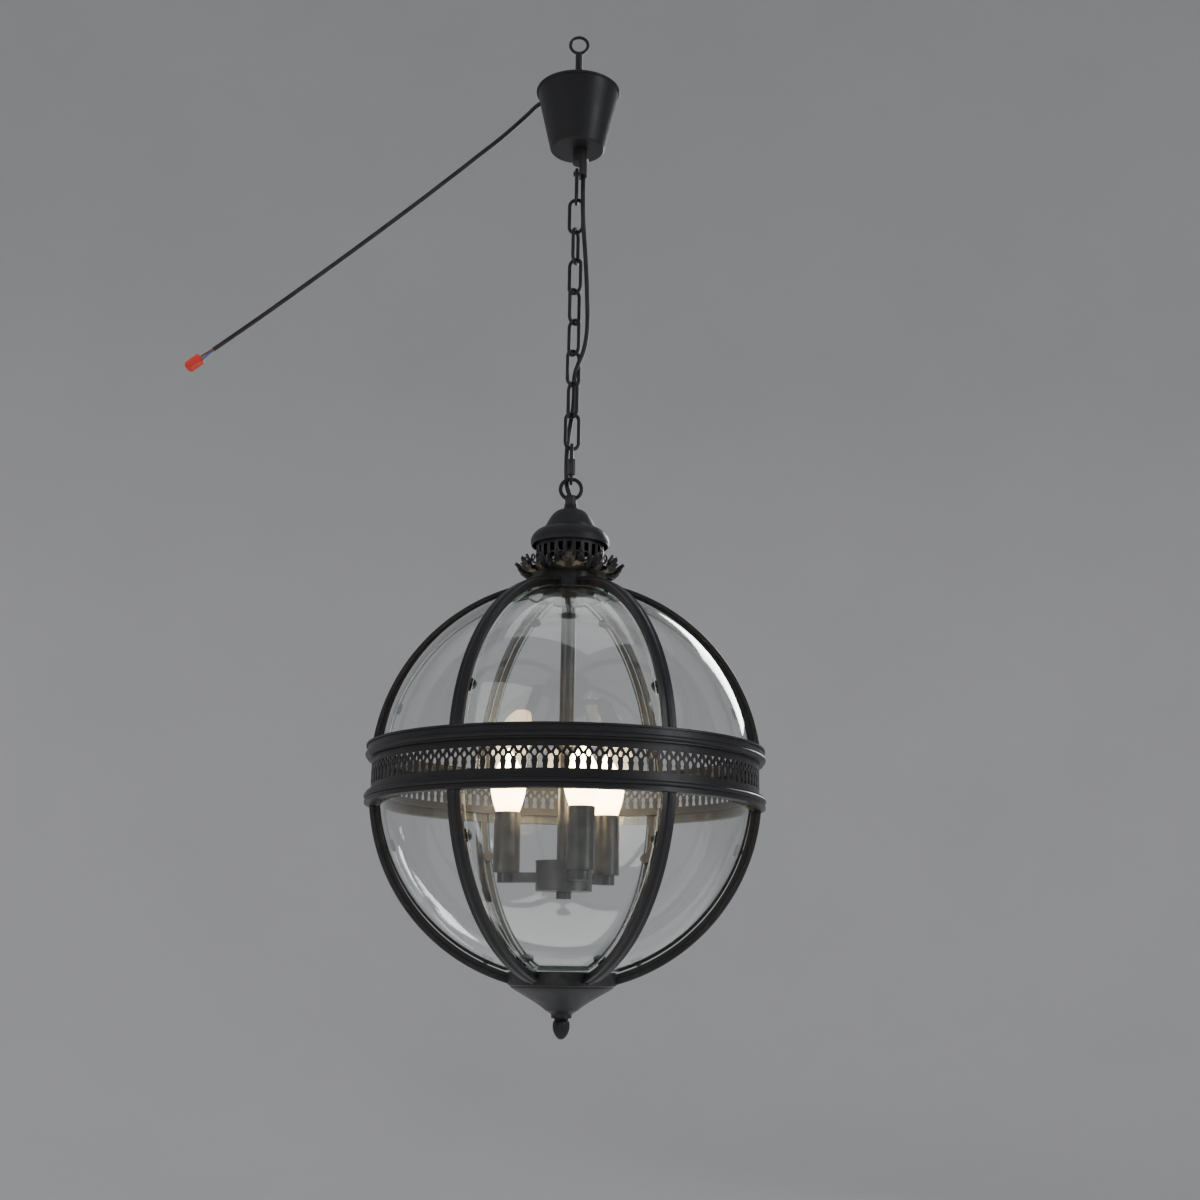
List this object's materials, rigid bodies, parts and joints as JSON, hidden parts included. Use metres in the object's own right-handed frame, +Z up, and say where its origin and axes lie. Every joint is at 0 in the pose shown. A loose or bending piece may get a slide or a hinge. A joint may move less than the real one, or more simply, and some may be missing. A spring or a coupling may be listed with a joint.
{
  "type": "hanging lantern",
  "caption": "Round glass hanging lantern in a black steel frame with a pierced waist band and candle bulbs, on a chain with ceiling cup and flex.",
  "frame": {"origin": "centre of the suspension eye's hole", "axes": "+Z up along the hanging line, +X to the right seen from the front, +Y to the back; the eye's ring stands in the XZ plane"},
  "size_m": [0.6258, 0.4002, 1.0872],
  "materials": {
    "black_steel": "satin black stove enamel, worn a little on edges",
    "chain_steel": "satin black enamel",
    "panel_glass": "clear, polished, slightly green at the cut edge",
    "flex_sheath": "matt black sheath",
    "blue_core": "blue insulation",
    "brown_core": "brown insulation",
    "red_plastic": "moulded red",
    "bright_screw": "bright zinc",
    "zinc_rod": "dull zinc",
    "holder_plastic": "cream thermoset",
    "bulb_glass": "clear blown glass, lit",
    "bulb_cap": "nickel-plated screw cap",
    "filament": "glowing filament"
  },
  "bodies": {
    "ceiling_mount": {"suspension_eye": "chain_steel", "canopy_cup": "black_steel", "hanger_boss": "black_steel", "cord_clamp_screw": "bright_screw", "supply_cord": "flex_sheath", "supply_cord_cores": "blue_core", "lead_connector": "red_plastic"},
    "top_link": {"chain_link_top": "chain_steel"},
    "chain": {"chain_links": "chain_steel", "chain_cord": "flex_sheath"},
    "connector": {"quick_link": "chain_steel"},
    "connector_sleeve": {"quick_link_sleeve": "chain_steel"},
    "lantern": {"hanging_loop": "black_steel", "bell_cap": "black_steel", "vent_hood": "black_steel", "vent_cage": "black_steel", "crown": "black_steel", "top_collar": "black_steel", "threaded_rod": "zinc_rod", "stem_tube": "black_steel", "upper_rib_1": "black_steel", "upper_rib_2": "black_steel", "upper_rib_3": "black_steel", "upper_rib_4": "black_steel", "upper_rib_5": "black_steel", "upper_rib_6": "black_steel", "lower_rib_1": "black_steel", "lower_rib_2": "black_steel", "lower_rib_3": "black_steel", "lower_rib_4": "black_steel", "lower_rib_5": "black_steel", "lower_rib_6": "black_steel", "upper_glass_1": "panel_glass", "upper_glass_2": "panel_glass", "upper_glass_3": "panel_glass", "upper_glass_4": "panel_glass", "upper_glass_5": "panel_glass", "upper_glass_6": "panel_glass", "lower_glass_1": "panel_glass", "lower_glass_2": "panel_glass", "lower_glass_3": "panel_glass", "lower_glass_4": "panel_glass", "lower_glass_5": "panel_glass", "lower_glass_6": "panel_glass", "band_ring_upper": "black_steel", "band_ring_lower": "black_steel", "pierced_band": "black_steel", "glass_buttons": "black_steel", "base_cup": "black_steel", "finial": "black_steel", "cluster_hub": "black_steel", "hub_lid": "black_steel", "hub_nut": "black_steel", "cluster_arms": "black_steel", "candle_sleeves": "black_steel", "lampholders": "holder_plastic"},
    "bulb_a": {"bulb_1": "bulb_glass"},
    "bulb_b": {"bulb_2": "bulb_glass"},
    "bulb_c": {"bulb_3": "bulb_glass"}
  },
  "joints": [
    {"name": "top_link_swing", "type": "hinge", "parent": "ceiling_mount", "child": "top_link", "pos_m": [0, 0, -0.1578], "axis": [1, 0, 0], "range_deg": [-25, 25], "deforming": ["chain_cord"]},
    {"name": "chain_swing", "type": "hinge", "parent": "top_link", "child": "chain", "pos_m": [0, 0, -0.1932], "axis": [0, 1, 0], "range_deg": [-25, 25], "deforming": ["chain_cord"]},
    {"name": "connector_swing", "type": "hinge", "parent": "chain", "child": "connector", "pos_m": [0, 0, -0.4756], "axis": [0.9397, 0.342, 0], "range_deg": [-25, 25], "deforming": ["chain_cord"]},
    {"name": "sleeve_travel", "type": "slide", "parent": "connector", "child": "connector_sleeve", "axis": [0, 0, 1], "range_m": [0, 0.009]},
    {"name": "lantern_swing", "type": "hinge", "parent": "connector", "child": "lantern", "pos_m": [0, 0, -0.513], "axis": [0, 1, 0], "range_deg": [-25, 25], "deforming": ["chain_cord"]},
    {"name": "bulb_1_unscrew", "type": "slide", "parent": "lantern", "child": "bulb_a", "axis": [0, 0, 1], "range_m": [0, 0.02]},
    {"name": "bulb_2_unscrew", "type": "slide", "parent": "lantern", "child": "bulb_b", "axis": [0, 0, 1], "range_m": [0, 0.02]},
    {"name": "bulb_3_unscrew", "type": "slide", "parent": "lantern", "child": "bulb_c", "axis": [0, 0, 1], "range_m": [0, 0.02]}
  ]
}
